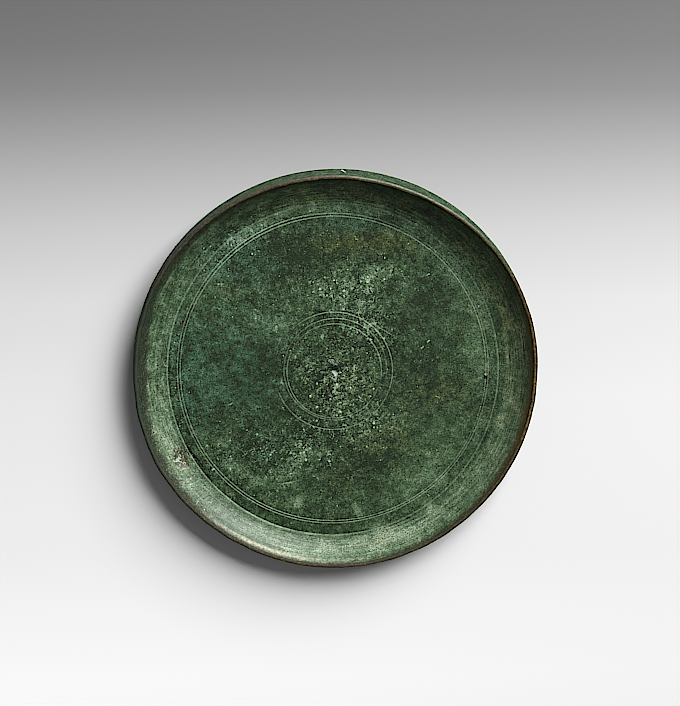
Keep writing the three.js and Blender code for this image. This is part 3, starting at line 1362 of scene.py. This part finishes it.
@dataclass
class Studio:
    """The floor, the lights, the surroundings and the camera."""

    floor_reach: float = 3.0
    floor_gap_mm: float = 0.02
    key_bearing_deg: float = 54.0
    key_elevation_deg: float = 32.0
    key_distance: float = 1.3
    key_size: float = 0.90
    key_power: float = 50.0
    tilt_deg: float = 13.0
    heading_deg: float = 101.0
    distance_pixels: float = 1900.0
    sky_band: tuple[float, float] = (0.05, 0.45)
    sky_low: float = 0.42
    sky_high: float = 0.19
    crispness: float = 0.18

    def floor(self) -> bpy.types.Object:
        """A wide plain floor, just under the disc.

        Returns:
            The floor.
        """
        reach, level = self.floor_reach, -self.floor_gap_mm * MM
        corners = [(x * reach, y * reach, level) for x, y in ((-1, -1), (1, -1), (1, 1), (-1, 1))]
        mesh = bpy.data.meshes.new("studio_floor")
        mesh.from_pydata(corners, [], [(0, 1, 2, 3)])
        mesh.materials.append(StudioPaper().material())
        floor = put("studio_floor", mesh)
        return floor

    def key_light(self) -> bpy.types.Object:
        """A soft square light high at the upper right of the view.

        Returns:
            The light.
        """
        lamp = bpy.data.lights.new("key_softbox", "AREA")
        lamp.shape = "SQUARE"
        lamp.size = self.key_size
        lamp.energy = self.key_power
        light = put("key_softbox", lamp)
        towards = direction(self.key_bearing_deg, self.key_elevation_deg)
        light.location = towards * self.key_distance
        light.rotation_mode = "QUATERNION"
        light.rotation_quaternion = towards.to_track_quat("Z", "Y")
        return light

    def surroundings(self) -> None:
        """A dim even sky that is paler near the horizon, as in a studio with light walls."""
        world = bpy.data.worlds.new("studio_walls")
        bpy.context.scene.world = world
        s = Shader(world)
        split = s.node("ShaderNodeSeparateXYZ")
        s.feed(split.inputs[0], s.node("ShaderNodeTexCoord").outputs["Generated"])
        sky = s.node("ShaderNodeBackground")
        strength = s.spread(split.outputs["Z"], *self.sky_band, self.sky_low, self.sky_high)
        s.feed(sky.inputs["Strength"], strength)
        s.feed(s.node("ShaderNodeOutputWorld").inputs["Surface"], sky.outputs[0])

    def camera(self, target: Vector) -> bpy.types.Object:
        """The camera at the photograph's angle, aimed so that the target falls on its pixel.

        Args:
            target: The ring centre, in metres.

        Returns:
            The camera, which is made the scene's own.
        """
        back = direction(self.heading_deg, 90 - self.tilt_deg)
        right = Vector((0, 1, 0)).cross(back).normalized()
        up = back.cross(right)
        pixel = MM_PER_PIXEL * MM
        across = (PHOTO_WIDTH / 2 - RING_CENTRE_PIXEL[0]) * pixel
        above = (RING_CENTRE_PIXEL[1] - PHOTO_HEIGHT / 2) * pixel
        place = target + back * self.distance_pixels * pixel
        aim = target + right * across + up * above
        look = (place - aim).normalized()
        side = up.cross(look).normalized()
        lens = bpy.data.cameras.new("photo_camera")
        lens.sensor_width = 36.0
        lens.lens = self.distance_pixels / PHOTO_HEIGHT * lens.sensor_width
        camera = put("photo_camera", lens)
        turn = Matrix((side, look.cross(side), look)).transposed()
        camera.matrix_world = Matrix.Translation(place) @ turn.to_4x4()
        bpy.context.scene.camera = camera
        return camera

    def exposure(self) -> None:
        """Plain colours straight from the light, with the crispness of a sharp print."""
        scene = bpy.context.scene
        scene.view_settings.view_transform = "Standard"
        scene.view_settings.look = "None"
        scene.use_nodes = True
        tree = scene.node_tree
        tree.nodes.clear()
        layer = tree.nodes.new("CompositorNodeRLayers")
        crisp = tree.nodes.new("CompositorNodeFilter")
        crisp.filter_type = "SHARPEN"
        crisp.inputs["Fac"].default_value = self.crispness
        out = tree.nodes.new("CompositorNodeComposite")
        tree.links.new(layer.outputs["Image"], crisp.inputs["Image"])
        tree.links.new(crisp.outputs["Image"], out.inputs["Image"])


def main() -> None:
    """Builds the disc and the studio, and reports each piece."""
    logging.basicConfig(level=logging.INFO, format="%(name)s: %(message)s")
    low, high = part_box(NODE)
    form = DiscForm(back_radius=(high.x - low.x) / 2 / MM, height=(high.z - low.z) / MM)
    mirror = MirrorDisc(form)
    disc = mirror.build()
    disc.data.materials.append(BronzePatina(mirror.ring_centre).material())
    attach(disc, BODY)
    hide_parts(NODE)
    log.info("%s: %d points, %d faces", disc.name, len(disc.data.vertices), len(disc.data.polygons))
    studio = Studio()
    floor = studio.floor()
    light = studio.key_light()
    studio.surroundings()
    studio.exposure()
    camera = studio.camera(Vector((*mirror.ring_centre, form.floor_thickness)) * MM)
    log.info("%s, %s and %s are in place", floor.name, light.name, camera.name)


if __name__ == "__main__":
    main()
